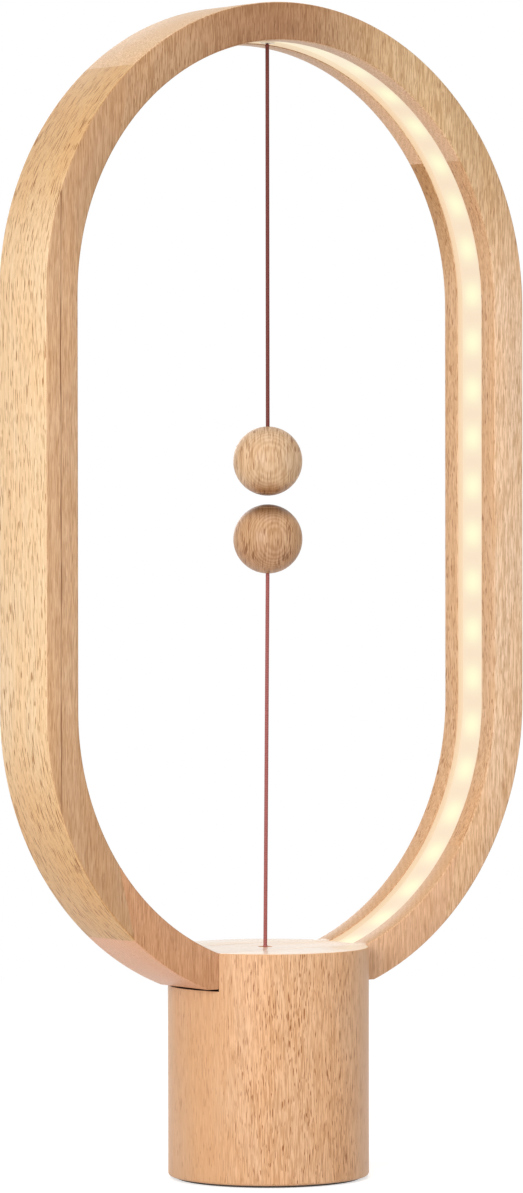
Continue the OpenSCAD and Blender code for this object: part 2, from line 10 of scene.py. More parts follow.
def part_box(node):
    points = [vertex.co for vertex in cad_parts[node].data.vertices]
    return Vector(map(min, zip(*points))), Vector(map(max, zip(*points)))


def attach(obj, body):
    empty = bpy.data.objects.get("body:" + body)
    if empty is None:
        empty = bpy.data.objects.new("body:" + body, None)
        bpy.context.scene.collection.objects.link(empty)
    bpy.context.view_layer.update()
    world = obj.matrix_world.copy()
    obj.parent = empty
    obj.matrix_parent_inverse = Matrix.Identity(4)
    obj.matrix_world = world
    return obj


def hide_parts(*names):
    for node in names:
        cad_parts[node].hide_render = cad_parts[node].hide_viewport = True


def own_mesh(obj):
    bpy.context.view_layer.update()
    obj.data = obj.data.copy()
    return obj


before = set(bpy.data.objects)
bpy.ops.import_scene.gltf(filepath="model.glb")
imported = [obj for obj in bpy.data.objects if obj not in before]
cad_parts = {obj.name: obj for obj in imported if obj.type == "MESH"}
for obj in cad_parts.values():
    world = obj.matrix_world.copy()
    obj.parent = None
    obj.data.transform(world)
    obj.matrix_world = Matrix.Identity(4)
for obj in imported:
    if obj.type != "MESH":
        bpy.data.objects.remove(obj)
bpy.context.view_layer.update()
scene = bpy.context.scene
MM = 0.001
sharp_angle = math.radians(35)


# ---------------------------------------------------------------- camera
# The photograph was taken from the left front with a long lens, a little above the middle of
# the hoop and very slightly downwards. These are its fitted place and angles.
camera_distance = 1.8547
camera_height = 0.2236
camera_azimuth = math.radians(36.63)
camera_turn = math.radians(-0.067)
camera_dip = math.radians(0.842)
camera_roll = math.radians(-0.07)
focal_pixels = 5488.5
photo_height = 1193

lens = bpy.data.cameras.new("camera")
lens.lens = focal_pixels / photo_height * lens.sensor_width
lens.clip_end = 20
camera = bpy.data.objects.new("camera", lens)
scene.collection.objects.link(camera)
heading = Euler((math.pi / 2 - camera_dip, 0, -(camera_azimuth + camera_turn))).to_matrix()
camera.matrix_world = Matrix.Translation((
    -camera_distance * math.sin(camera_azimuth),
    -camera_distance * math.cos(camera_azimuth),
    camera_height,
)) @ (heading @ Matrix.Rotation(camera_roll, 3, "Z")).to_4x4()
scene.camera = camera


# ---------------------------------------------------------------- cords
# Two lengths of thin red braided cord, 1.3 mm thick. One hangs from the crown to the knot in the
# upper ball. The other rises from the base to the knot in the lower ball, and goes slack, here
# drawn shorter, when that ball drops.
cord_thickness = 1.3 * MM
cord_sides = 12
braid_pitch = 1.6 * MM
knot_radius = 1.8 * MM


class Signal:
    """One output of a shader node. Sums and products of signals add their own Math nodes."""

    def __init__(self, finish, socket):
        self.finish = finish
        self.socket = socket

    def math(self, operation, *others):
        inputs = dict(enumerate((self,) + others))
        return self.finish.node("ShaderNodeMath", {"operation": operation}, inputs)

    def __add__(self, other):
        return self.math("ADD", other)

    __radd__ = __add__

    def __sub__(self, other):
        return self.math("SUBTRACT", other)

    def __rsub__(self, other):
        return self.finish.node("ShaderNodeMath", {"operation": "SUBTRACT"}, {0: other, 1: self})

    def __mul__(self, other):
        return self.math("MULTIPLY", other)

    def __pow__(self, other):
        return self.math("POWER", other)

    def size(self):
        return self.math("ABSOLUTE")

    def between(self, low, high):
        """0 below low, 1 above high, and smooth on the way."""
        return self.finish.node(
            "ShaderNodeMapRange", {"interpolation_type": "SMOOTHSTEP"},
            {"Value": self, "From Min": low, "From Max": high},
        )


class Finish:
    """A material that is written down as expressions on its signals."""

    def __init__(self, name, tone=None):
        self.material = bpy.data.materials.new(name)
        self.material.use_nodes = True
        self.tree = self.material.node_tree
        self.shader = self.tree.nodes["Principled BSDF"]
        if tone:
            self.material.diffuse_color = tone + (1,)

    def node(self, kind, settings, inputs, output=0):
        made = self.tree.nodes.new(kind)
        for name, value in settings.items():
            setattr(made, name, value)
        self.feed(made, inputs)
        return Signal(self, made.outputs[output])

    def feed(self, made, inputs):
        for name, value in inputs.items():
            socket = made.inputs[name]
            if isinstance(value, Signal):
                self.tree.links.new(value.socket, socket)
            elif isinstance(value, tuple) and len(value) == 3 and socket.type == "RGBA":
                socket.default_value = value + (1,)
            else:
                socket.default_value = value

    def shade(self, inputs):
        self.feed(self.shader, inputs)
        return self.material

    def place(self, kind="Object"):
        return self.node("ShaderNodeTexCoord", {}, {}, kind)

    def stretched(self, place, cell, turn=(0, 0, 0), shift=(0, 0, 0)):
        """Coordinates in which one unit is a cell of that size in metres along X, Y and Z."""
        turned = self.node("ShaderNodeMapping", {}, {"Vector": place, "Location": shift, "Rotation": turn})
        return self.node("ShaderNodeMapping", {}, {"Vector": turned, "Scale": tuple(1 / c for c in cell)})

    def noise(self, place, detail, roughness):
        return self.node(
            "ShaderNodeTexNoise", {},
            {"Vector": place, "Scale": 1.0, "Detail": detail, "Roughness": roughness},
        )

    def mix(self, share, a, b, way="MIX"):
        return self.node("ShaderNodeMix", {"data_type": "RGBA", "blend_type": way}, {0: share, 6: a, 7: b}, 2)

    def tinted(self, share, tone, tint):
        """The tone as it is where share is 0, and multiplied by the tint where it is 1."""
        return self.mix(share, tone, self.mix(1.0, tone, tint, "MULTIPLY"))

    def mix_ways(self, share, a, b):
        return self.node("ShaderNodeMix", {"data_type": "VECTOR"}, {0: share, 4: a, 5: b}, 1)

    def part(self, vector, axis):
        return self.node("ShaderNodeSeparateXYZ", {}, {"Vector": vector}, axis)

    def facing(self, normal, way):
        """1 on faces that look that way, 0 on those along it and -1 on those that look back."""
        return self.node("ShaderNodeVectorMath", {"operation": "DOT_PRODUCT"}, {0: normal, 1: way}, "Value")

    def bump(self, height, distance, strength):
        return self.node(
            "ShaderNodeBump", {}, {"Height": height, "Distance": distance, "Strength": strength}
        )


def srgb(red, green, blue):
    """A colour as it is read off a screen, 0 to 255, as the shader wants it."""
    def linear(c):
        c = c / 255
        return c / 12.92 if c <= 0.04045 else ((c + 0.055) / 1.055) ** 2.4
    return (linear(red), linear(green), linear(blue))


def make_piece(name, bm, finish, body, slot, *stands_for):
    """Turns a bmesh into a piece that rides on a body and stands for its CAD nodes."""
    mesh = bpy.data.meshes.new(name)
    bm.to_mesh(mesh)
    bm.free()
    mesh.shade_smooth()
    mesh.set_sharp_from_angle(angle=sharp_angle)
    mesh.materials.append(finish)
    piece = bpy.data.objects.new(name, mesh)
    scene.collection.objects.link(piece)
    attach(piece, body)
    if stands_for:
        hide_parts(*stands_for)
    return piece


def braided_cord(name, colour):
    """Two sets of strands wind round the cord, one over the other."""
    finish = Finish(name)
    uv = finish.place("UV")
    turn = finish.part(uv, "X") * (2 * math.pi * 4)
    rise = finish.part(uv, "Y") * (2 * math.pi)
    weave = (turn + rise).math("SINE") * (turn - rise).math("SINE") * 0.5 + 0.5
    dark = tuple(c * 0.62 for c in colour)
    return finish.shade({
        "Base Color": finish.mix(weave, dark, colour),
        "Roughness": 0.62 - weave * 0.12,
        "Specular IOR Level": 0.3,
        "Normal": finish.bump(weave, 0.05 * MM, 0.6),
    })


def cord_mesh(path):
    """A straight tube of many short rings between the path's two ends, with a braid's UV map."""
    start, end = path
    rings = 64
    line = end - start
    turn = Vector((0, 0, 1)).rotation_difference(line.normalized()).to_matrix()
    bm = bmesh.new()
    ring = bmesh.ops.create_circle(bm, segments=cord_sides, radius=cord_thickness / 2)["verts"]
    bmesh.ops.rotate(bm, verts=ring, cent=(0, 0, 0), matrix=turn)
    bmesh.ops.translate(bm, verts=ring, vec=start)
    edges = bm.edges[:]
    for _ in range(rings):
        made = bmesh.ops.extrude_edge_only(bm, edges=edges)["geom"]
        moved = [g for g in made if isinstance(g, bmesh.types.BMVert)]
        edges = [g for g in made if isinstance(g, bmesh.types.BMEdge)]
        edges = [e for e in edges if all(v in moved for v in e.verts)]
        bmesh.ops.translate(bm, verts=moved, vec=line / rings)
    bmesh.ops.holes_fill(bm, edges=[e for e in bm.edges if e.is_boundary], sides=0)
    bmesh.ops.recalc_face_normals(bm, faces=bm.faces)
    uv = bm.loops.layers.uv.new("braid")
    back = turn.transposed()
    for f in bm.faces:
        middle = back @ (f.calc_center_median() - start)
        facing = math.atan2(middle.y, middle.x)
        for loop in f.loops:
            at = back @ (loop.vert.co - start)
            angle = math.atan2(at.y, at.x)
            angle += 2 * math.pi * round((facing - angle) / (2 * math.pi))
            loop[uv].uv = (angle / (2 * math.pi), at.z / braid_pitch)
    return bm


# One red cord: the upper length darker, painted shade, and the lower paler, painted light.
upper_red = srgb(112, 46, 37)
lower_red = srgb(162, 88, 84)
upper_line_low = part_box("upper_cord")[0]
lower_line_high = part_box("lower_cord")[1]
upper_bend = sum(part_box("upper_cord_bead"), Vector()) / 2
lower_bend = sum(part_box("lower_cord_bead"), Vector()) / 2
upper_knot = Vector((upper_bend.x, upper_bend.y, upper_line_low.z + knot_radius))
lower_knot = Vector((lower_line_high.x - knot_radius, 0, lower_line_high.z - knot_radius))

upper_path = (upper_bend, upper_knot)
upper_cord = make_piece(
    "hanging_cord", cord_mesh(upper_path), braided_cord("cord_red", upper_red),
    "upper_pendant", "cord", "upper_cord",
)

lower_path = (lower_bend, lower_knot)
lower_cord = make_piece(
    "rising_cord", cord_mesh(lower_path), braided_cord("cord_red_lit", lower_red),
    "lower_line", "cord", "lower_cord",
)
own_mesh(lower_cord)


# ---------------------------------------------------------------- hoop
# Solid beech, 12.8 by 27.8 mm, sawn and sanded from four boards that are glued at slanting
# lines beside the crown and the foot. Its grain stands upright all round, and a groove for the
# light strip runs round the inner face and stops beside the flat foot.
hoop_thick = 12.8 * MM
hoop_straight = 136.3 * MM
groove_width = 13.4 * MM
groove_depth = 6.5 * MM
seam_angle = math.radians(43.5)
seam_lean = math.radians(14.5)
past_seam = math.radians(28)
side_reach = math.radians(58)
wing_end = math.radians(74)
rim_round = 0.7 * MM
mouth_round = 0.25 * MM
arris_round = 0.2 * MM
arc_step = math.radians(1.5)

crown_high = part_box("hoop_crown")[1]
outer_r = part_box("hoop_right_side")[1].x
inner_r = outer_r - hoop_thick
groove_r = inner_r + groove_depth
high_z = crown_high.z - outer_r
low_z = high_z - hoop_straight
half_depth = crown_high.y
strip_x = 31.0 * MM
base_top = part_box("base_body")[1].z
slot_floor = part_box("hoop_foot")[0].z

pore_brown = (0.46, 0.31, 0.18)
vein_brown = (0.40, 0.27, 0.18)
late_wood = (0.80, 0.72, 0.62)
early_wood = (1.12, 1.15, 1.20)
orange_wood = (1.0, 0.91, 0.78)
# A painted shadow brown for the gap under the hoop's foot.
slot_shade_brown = srgb(66, 30, 26)


def round_the_bend(finish, place):
    """Coordinates that follow the hoop's bends, so that a dash keeps its length along them."""
    across = finish.part(place, "X")
    height = finish.part(place, "Z")
    lift = (height - high_z).math("MAXIMUM", 0.0) + (height - low_z).math("MINIMUM", 0.0)
    out = across.size()
    angle = lift.math("ARCTAN2", out)
    return finish.node("ShaderNodeCombineXYZ", {}, {
        "X": (lift * lift + out * out) ** 0.5,
        "Y": finish.part(place, "Y"),
        "Z": height - lift + angle * outer_r,
    })


def beech(
    name, side, front=None, inner=None, inward=(0, 0, -1), top=None, bottom=None, upward=None,
    downward=None, left=None, seams=None, end_grain_and_shading=None, end_span=(0.75, 0.95), capped=0,
    polish=None, glued=None, shift=(0, 0, 0), turn=0.0, deep=0.36 * MM, pith=(-0.05, 0.08),
    flat_way=(1, 0, 0), flat_span=(0.25, 0.85), dashes=0.8, few=0.2, sparse=0.61, long_pores=3.2,
    crowding=0.16, lines=0.7, plain_lines=0.3, rings=0.1, ring_pitch=1.7 * MM,
    ring_wander=2.5 * MM, drift=0.5, dark_line=None, bent=False, pale_rim=False,
):
    """Upright beech. Short dark pores show where the growth rings lie flat along a face, and fine
    upright lines where they stand on edge. Broad soft drifts run from pale to orange.

    side, front and inner are the tones of the faces, seams that of the front at its two glue lines,
    where it is paler than in its middle: wood tone and painted shade. top, bottom and left tint
    the wood towards that end of the hoop, and upward and downward tint the faces that look that way.
    Faces that look up or down take their own tone: end grain, with painted light on flat tops and
    painted shade on the balls' facing caps. At the glued height, faces that look up get a painted
    shadow brown. pith is the middle of the growth rings, and flat_way looks at the face on which
    they lie flat: there dashes and plain_lines hold, and on the others few and lines."""
    finish = Finish(name, side)
    place = finish.place()
    if turn:
        place = finish.node("ShaderNodeMapping", {}, {"Vector": place, "Rotation": (0, 0, turn)})
    normal = finish.place("Normal")
    upright = finish.part(normal, "Z")
    across = finish.part(place, "X")
    along = finish.part(place, "Y")
    height = finish.part(place, "Z")
    frontal = finish.part(normal, "Y").size().between(0.55, 0.85)

    def grain(at, cell, lean, detail, roughness):
        return finish.noise(finish.stretched(at, cell, lean, shift), detail, roughness)

    fine = grain(place, (0.34 * MM, deep, 6.5 * MM), (0.02, -0.015, 0), 2, 0.6)
    long = grain(place, (0.8 * MM, 2 * deep, 26 * MM), (-0.01, 0.012, 0), 2, 0.5)
    pore_place = finish.mix_ways(frontal, round_the_bend(finish, place), place) if bent else place
    pore_cell = (0.35 * MM, 0.97 * deep, long_pores * MM)
    pores = grain(pore_place, pore_cell, (0.03, -0.02, 0), 0.6, 0.5)
    crowd = grain(place, (5 * MM, 5 * MM, 22 * MM), (0, 0, 0), 1, 0.5)
    cloud = grain(place, (11 * MM, 11 * MM, 42 * MM), (0.03, 0.02, 0), 2, 0.5)

    from_pith = across - (pith[0] + shift[0])
    behind_pith = along - (pith[1] + shift[1])
    radius = (from_pith * from_pith + behind_pith * behind_pith) ** 0.5 + cloud * ring_wander
    ring = (radius * (2 * math.pi / ring_pitch)).math("SINE")

    tone = side
    if inner:
        tone = finish.mix(finish.facing(normal, inward).between(0.05, 0.4), side, inner)
    # The front is paler towards the glue lines than in its middle: wood tone and painted shade.
    if seams:
        front = finish.mix(across.between(-5 * MM, 60 * MM), front, seams[1])
        front = finish.mix((across * -1).between(12 * MM, 62 * MM), front, seams[0])
    if front:
        tone = finish.mix(frontal, tone, front)
    if left:
        tone = finish.tinted((across * -1).between(-30 * MM, 30 * MM), tone, left)
    if top:
        above = height.between(high_z - 10 * MM, high_z + 60 * MM)
        if pale_rim:
            rim = (along * -1).between(4 * MM, 6.5 * MM) * (1.0 - frontal)
            rim = rim * (finish.part(normal, "X") * -1).between(0.1, 0.4)
            above = above * (1.0 - rim)
        tone = finish.tinted(above, tone, top)
    if bottom:
        tone = finish.tinted((height * -1).between(-10 * MM - low_z, 60 * MM - low_z), tone, bottom)
    if upward:
        tone = finish.tinted(upright.between(0.1, 0.55), tone, upward)
    if downward:
        tone = finish.tinted((upright * -1).between(0.02, 0.5), tone, downward)
    # Faces that look up or down take their own tone: end grain, with painted light on flat tops and painted
    # shade on the balls' facing caps.
    if end_grain_and_shading:
        cap_share = (upright * capped).between(0.5, 0.95) if capped else upright.between(*end_span)
        tone = finish.mix(cap_share, tone, end_grain_and_shading)
    # Faces that look up at the glued height get a painted shadow brown: the shade in the gap under the foot.
    if glued:
        floor_shade = upright.between(0.6, 0.9) * (height * -1).between(-glued, 0.2 * MM - glued)
        tone = finish.mix(floor_shade, tone, slot_shade_brown)

    flat = finish.facing(normal, flat_way).size().between(*flat_span)
    line_share = flat * (plain_lines - lines) + lines
    shade = (fine - 0.5) * line_share * 4.4 + (long - 0.5) * line_share * 1.2 + ring * rings + 0.5
    dark = finish.mix(1.0, tone, late_wood, "MULTIPLY")
    light = finish.mix(1.0, tone, early_wood, "MULTIPLY")
    tone = finish.mix(shade, dark, light)
    tone = finish.tinted(cloud.between(0.38, 0.66) * drift, tone, orange_wood)
    crowded = pores + (crowd - 0.5) * crowding
    dash = crowded.between(sparse, sparse + 0.07) * (flat * (dashes - few) + few)
    tone = finish.tinted(dash, tone, pore_brown)
    if dark_line:
        wander = (long - 0.5) * (0.4 * MM) + cloud * (1.6 * MM)
        off = (across - dark_line + wander).size()
        strong = crowd.between(0.4, 0.6) * 0.55 + 0.45
        vein = (1.0 - off.between(0.12 * MM, 0.40 * MM)) * strong * frontal
        tone = finish.tinted(vein, tone, vein_brown)
    if polish:
        finish.shade({"Coat Weight": upright.between(*end_span) * polish, "Coat Roughness": 0.22})
    return finish.shade({
        "Base Color": tone,
        "Roughness": 0.32 + fine * 0.16,
        "Specular IOR Level": 0.24,
        "Normal": finish.bump(fine * 0.4 - dash, 0.06 * MM, 0.3),
    })


def half_section():
    """The hoop's section as corners of radius and depth, with the groove open to the inside."""
    d = half_depth
    g = groove_width / 2
    return [
        (outer_r, -d), (outer_r, d), (inner_r, d), (inner_r, g),
        (groove_r, g), (groove_r, -g), (inner_r, -g), (inner_r, -d),
    ]


def swept(section, angle, moves):
    """Draws a closed section at an angle of the lower round, then turns and lifts it on its way."""
    bm = bmesh.new()
    centre = moves[0][1]
    ring = [
        bm.verts.new((r * math.cos(angle), y, centre + r * math.sin(angle)))
        for r, y in section
    ]
    last = ring + [bm.edges.new((ring[i - 1], ring[i])) for i in range(len(ring))]
    for kind, centre, amount in moves:
        if kind == "turn":
            steps = max(1, round(abs(amount) / arc_step))
            last = bmesh.ops.spin(
                bm, geom=last, cent=(0, 0, centre), axis=(0, -1, 0), angle=amount, steps=steps,
            )["geom_last"]
        else:
            edges = [g for g in last if isinstance(g, bmesh.types.BMEdge)]
            last = bmesh.ops.extrude_edge_only(bm, edges=edges)["geom"]
            verts = [g for g in last if isinstance(g, bmesh.types.BMVert)]
            last = verts + [g for g in last if isinstance(g, bmesh.types.BMEdge)
                            and all(v in verts for v in g.verts)]
            bmesh.ops.translate(bm, verts=verts, vec=(0, 0, amount))
    bmesh.ops.remove_doubles(bm, verts=bm.verts, dist=1e-6)
    return bm


def rounded(bm, edges, width, segments):
    bmesh.ops.bevel(
        bm, geom=edges, offset=width, segments=segments, profile=0.5, affect="EDGES", material=-1,
    )


def round_long_edges(bm, corner, width, segments):
    """Rounds the sharp edges whose two ends both pass a corner test."""
    edges = [
        e for e in bm.edges
        if len(e.link_faces) == 2 and e.calc_face_angle(0) > math.radians(60)
        and all(corner(v) for v in e.verts)
    ]
    rounded(bm, edges, width, segments)


def on_rim(v):
    return abs(abs(v.co.y) - half_depth) < 1e-5


def on_mouth(v):
    centre = max(low_z, min(high_z, v.co.z))
    radius = math.hypot(v.co.x, v.co.z - centre)
    return abs(abs(v.co.y) - groove_width / 2) < 1e-5 and radius < inner_r + 1e-4


def cut_seam(bm, centre, up, keep_middle):
    """Saws the band along the slanting glue line at its right, above or below a round's centre."""
    middle_r = (inner_r + outer_r) / 2
    point = (middle_r * math.cos(seam_angle), 0, centre + up * middle_r * math.sin(seam_angle))
    normal = Vector((math.cos(seam_lean), 0, up * math.sin(seam_lean)))
    near = [v for v in bm.verts if (v.co.z - centre) * up > -1e-6 and v.co.x > 0]
    edges = [e for e in bm.edges if all(v in near for v in e.verts)]
    faces = [f for f in bm.faces if all(v in near for v in f.verts)]
    bmesh.ops.bisect_plane(
        bm, geom=near + edges + faces, plane_co=point, plane_no=normal,
        clear_outer=keep_middle, clear_inner=not keep_middle,
    )


def closed_band(bm):
    bmesh.ops.holes_fill(bm, edges=[e for e in bm.edges if e.is_boundary], sides=0)
    bmesh.ops.recalc_face_normals(bm, faces=bm.faces)
    return bm


def hoop_band(angle, moves):
    bm = swept(half_section(), angle, moves)
    round_long_edges(bm, on_rim, rim_round, 3)
    round_long_edges(bm, on_mouth, mouth_round, 2)
    return bm


def mirrored(bm):
    """The same sawn piece on the other side of the hoop."""
    bmesh.ops.scale(bm, vec=(-1, 1, 1), verts=bm.verts)
    bmesh.ops.recalc_face_normals(bm, faces=bm.faces)
    return bm


def crown_mesh():
    """Half of the crown, sawn at its glue line, and the other half mirrored onto it."""
    half = hoop_band(past_seam, [("turn", high_z, math.pi / 2 - past_seam)])
    cut_seam(half, high_z, 1, True)
    bmesh.ops.mirror(
        half, geom=half.verts[:] + half.edges[:] + half.faces[:], axis="X", merge_dist=1e-5,
    )
    return closed_band(half)


def side_mesh():
    bm = hoop_band(-side_reach, [
        ("turn", low_z, side_reach), ("run", 0, hoop_straight), ("turn", high_z, side_reach),
    ])
    cut_seam(bm, high_z, 1, False)
    cut_seam(bm, low_z, -1, False)
    return closed_band(bm)


def wing_mesh():
    """One curved wing of the foot, from the glue line to just inside the flat block."""
    wing = hoop_band(-wing_end, [("turn", low_z, wing_end - past_seam)])
    cut_seam(wing, low_z, -1, True)
    for point, normal in (((strip_x - 0.5 * MM, 0, 0), (-1, 0, 0)), ((0, 0, slot_floor), (0, 0, -1))):
        everything = wing.verts[:] + wing.edges[:] + wing.faces[:]
        bmesh.ops.bisect_plane(wing, geom=everything, plane_co=point, plane_no=normal, clear_outer=True)
        closed_band(wing)
    return wing


def block_mesh():
    """The flat block between the wings, which fills the slot in the base."""
    bm = box_mesh(Vector((-strip_x, -half_depth, slot_floor)), Vector((strip_x, half_depth, base_top)))
    rims = [
        e for e in bm.edges
        if all(abs(v.co.z - base_top) < 1e-6 for v in e.verts)
        and abs(e.verts[0].co.y - e.verts[1].co.y) < 1e-6
    ]
    rounded(bm, rims, arris_round, 2)
    return bm


def box_mesh(low, high):
    bm = bmesh.new()
    bmesh.ops.create_cube(bm, size=1)
    bmesh.ops.scale(bm, vec=high - low, verts=bm.verts)
    bmesh.ops.translate(bm, vec=(low + high) / 2, verts=bm.verts)
    return bm


def drill(radius, low, high, x=0.0):
    """A round upright cutter."""
    bm = bmesh.new()
    bmesh.ops.create_cone(
        bm, cap_ends=True, segments=48, radius1=radius, radius2=radius, depth=high - low,
    )
    bmesh.ops.translate(bm, vec=(x, 0, (high + low) / 2), verts=bm.verts)
    return bm


def worked(piece, bm, way="DIFFERENCE"):
    """Cuts a shape out of a piece, or glues one onto it, and leaves a plain mesh."""
    mesh = bpy.data.meshes.new("tool")
    bm.to_mesh(mesh)
    bm.free()
    tool = bpy.data.objects.new("tool", mesh)
    scene.collection.objects.link(tool)
    step = piece.modifiers.new("work", "BOOLEAN")
    step.operation = way
    step.solver = "EXACT"
    step.object = tool
    settle(piece)
    bpy.data.objects.remove(tool)


def settle(piece):
    """Applies a piece's modifiers to its mesh and sets its smooth and sharp edges again."""
    view = bpy.context.evaluated_depsgraph_get()
    solid = bpy.data.meshes.new_from_object(piece.evaluated_get(view))
    piece.modifiers.clear()
    piece.data = solid
    solid.shade_smooth()
    solid.set_sharp_from_angle(angle=sharp_angle)


bush_hole_r = 2.55 * MM
guide_x = lower_bend.x
make_piece(
    "hoop_crown_wood", crown_mesh(),
    beech("beech_crown", srgb(209, 175, 138), srgb(159, 116, 80), inner=srgb(209, 171, 138),
          seams=(srgb(181, 143, 106), srgb(206, 172, 131)), shift=(0.013, 0.004, 0.11),
          dashes=0.5, few=0.45, lines=1.9, plain_lines=0.45, drift=0.3),
    "lamp", "crown_wood", "hoop_crown",
)
make_piece(
    "hoop_right_wood", side_mesh(),
    beech("beech_right", srgb(208, 170, 134), srgb(222, 188, 155), top=(0.76, 0.71, 0.57),
          bottom=(0.95, 0.89, 0.82), downward=(0.86, 0.76, 0.64), shift=(-0.008, 0.01, 0.03),
          few=0.4, lines=1.4, plain_lines=0.6, bent=True, pale_rim=True),
    "lamp", "hoop_wood", "hoop_right_side",
)
make_piece(
    "hoop_left_wood", mirrored(side_mesh()),
    beech("beech_left", srgb(226, 196, 158), srgb(197, 159, 122), top=(0.83, 0.79, 0.74),
          bottom=(0.83, 0.79, 0.74), upward=(0.89, 0.80, 0.65), downward=(0.98, 0.86, 0.69),
          shift=(0.021, -0.006, 0.07), dashes=1.0, few=0.3, sparse=0.6, long_pores=5.0,
          crowding=0.07, dark_line=-93.4 * MM, bent=True),
    "lamp", "hoop_wood", "hoop_left_side",
)
# The foot's flat top is paler: end grain with painted light.
foot = make_piece(
    "hoop_foot_wood", block_mesh(),
    beech("beech_foot", srgb(249, 203, 172), srgb(214, 171, 135), inner=srgb(202, 162, 124),
          inward=(0, 0, 1), left=(0.77, 0.66, 0.57), end_grain_and_shading=srgb(240, 215, 188),
          end_span=(0.945, 0.985), polish=0.8, shift=(-0.017, 0.012, 0.05), dashes=0.3, few=0.3,
          drift=0.3),
    "lamp", "crown_wood", "hoop_foot",
)
worked(foot, wing_mesh(), "UNION")
worked(foot, mirrored(wing_mesh()), "UNION")
worked(foot, drill(bush_hole_r, slot_floor - 1 * MM, base_top + 1 * MM, guide_x))


# ---------------------------------------------------------------- light strip
# A milky silicone profile pressed into the groove, its face 1.5 mm below the wood between two
# thin lips. Chips on the tape behind it stand 16.67 mm apart, and each makes a soft bright spot.
lens_recess = 1.5 * MM
lens_face = 2.0 * MM
lens_width = 13.2 * MM
chip_pitch = 16.67 * MM
chip_r = groove_r - 0.5 * MM
lens_r = inner_r + lens_recess
lip_r = inner_r + 0.3 * MM
lip_width = 0.45 * MM
lip_foot = 0.95 * MM


def lens_mesh():
    """The profile, swept from one side of the foot to the other, with its run counted in chips."""
    half = lens_width / 2
    section = [
        (lens_r + lens_face, -half), (lens_r + lens_face, half),
        (lip_r, half), (lip_r, half - lip_width), (lens_r, half - lip_foot),
        (lens_r, lip_foot - half), (lip_r, lip_width - half), (lip_r, -half),
    ]
    low = -math.acos((strip_x + 0.2 * MM) / lens_r)
    bm = swept(section, low, [
        ("turn", low_z, -low), ("run", 0, hoop_straight), ("turn", high_z, math.pi),
        ("run", 0, -hoop_straight), ("turn", low_z, -low),
    ])
    closed_band(bm)
    uv = bm.loops.layers.uv.new("run")
    for f in bm.faces:
        for loop in f.loops:
            x, y, z = loop.vert.co
            if z > high_z:
                run = chip_r * math.atan2(abs(x), z - high_z)
            elif z > low_z:
                run = chip_r * math.pi / 2 + high_z - z
            else:
                run = chip_r * (math.pi / 2 + math.atan2(low_z - z, abs(x))) + hoop_straight
            loop[uv].uv = (run / chip_pitch, y / lens_width)
    return bm


def glowing_silicone():
    """Warm white light behind milky silicone: brighter at each chip, more amber at the edges, and
    more even and whiter near the crown. Its back edge is a darker amber, a painted shade that is
    weaker near the crown."""
    finish = Finish("lens_glow")
    uv = finish.place("UV")
    run = finish.part(uv, "X")
    depth = finish.part(uv, "Y")
    side = depth.size()
    wave = (run * (2 * math.pi)).math("COSINE")
    middle = (1.0 - side.between(0.0, 0.52)) ** 0.7
    spot = (0.5 - wave * 0.5) ** 1.15 * middle
    crown = 1.0 - run.between(1.8, 3.6)
    glow = finish.mix(spot, (0.555, 0.415, 0.28), (0.60, 0.60, 0.36))
    glow = finish.mix(crown * 0.8, glow, (0.60, 0.53, 0.385))
    glow = finish.mix(side.between(0.38, 0.48) * (1.0 - crown * 0.5), glow, (0.57, 0.41, 0.25))
    # A darker amber along the back edge: painted shade, weaker near the crown.
    back = depth.between(0.38, 0.5) * (1.0 - crown * 0.6)
    return finish.shade({
        "Base Color": (0.25, 0.24, 0.21),
        "Roughness": 0.45,
        "Specular IOR Level": 0.3,
        "Emission Color": finish.mix(back, glow, (0.50, 0.30, 0.14)),
        "Emission Strength": 1.15,
    })


strip = make_piece("glowing_strip", lens_mesh(), glowing_silicone(), "lamp", "milky_strip", "strip_lens")
worked(strip, drill(bush_hole_r, high_z + inner_r, high_z + outer_r))


# ---------------------------------------------------------------- balls
# Two turned beech balls, each drilled for its cord from one side and for its magnet from the
# other. A wooden plug closes the magnet's hole and is turned off flush, so a fine line shows.
plug_r = 5.0 * MM
bore_r = 0.9 * MM
line_depth = 0.12 * MM
line_half_angle = 0.008
mouth_chamfer = 0.25 * MM
knot_off_centre = 2.25 * MM


def ball_mesh(centre, radius, magnet_up, lean):
    """Turned from a profile that starts in the cord's bore and ends at the pole over the magnet."""
    plug_angle = math.asin(plug_r / radius)
    bore_angle = math.asin((bore_r + mouth_chamfer) / radius)
    bore_floor = radius * 0.4
    profile = [(0, bore_floor), (bore_r, bore_floor), (bore_r, radius - 0.35 * MM)]
    steps = 36
    for i in range(steps + 1):
        a = bore_angle + (math.pi - plug_angle - bore_angle) * i / steps
        profile.append((radius * math.sin(a), radius * math.cos(a)))
    groove = radius - line_depth
    notch = math.pi - plug_angle + line_half_angle
    profile.append((groove * math.sin(notch), groove * math.cos(notch)))
    caps = 10
    for i in range(caps + 1):
        a = notch + line_half_angle + (math.pi - notch - line_half_angle) * i / caps
        profile.append((radius * math.sin(a) * (i < caps), radius * math.cos(a)))
    bm = turned(profile, 96)
    if magnet_up:
        bmesh.ops.rotate(bm, verts=bm.verts, cent=(0, 0, 0), matrix=Matrix.Rotation(math.pi, 3, "X"))
    bmesh.ops.rotate(bm, verts=bm.verts, cent=(0, 0, 0), matrix=Matrix.Rotation(lean, 3, "Y"))
    bmesh.ops.translate(bm, verts=bm.verts, vec=centre)
    return bm


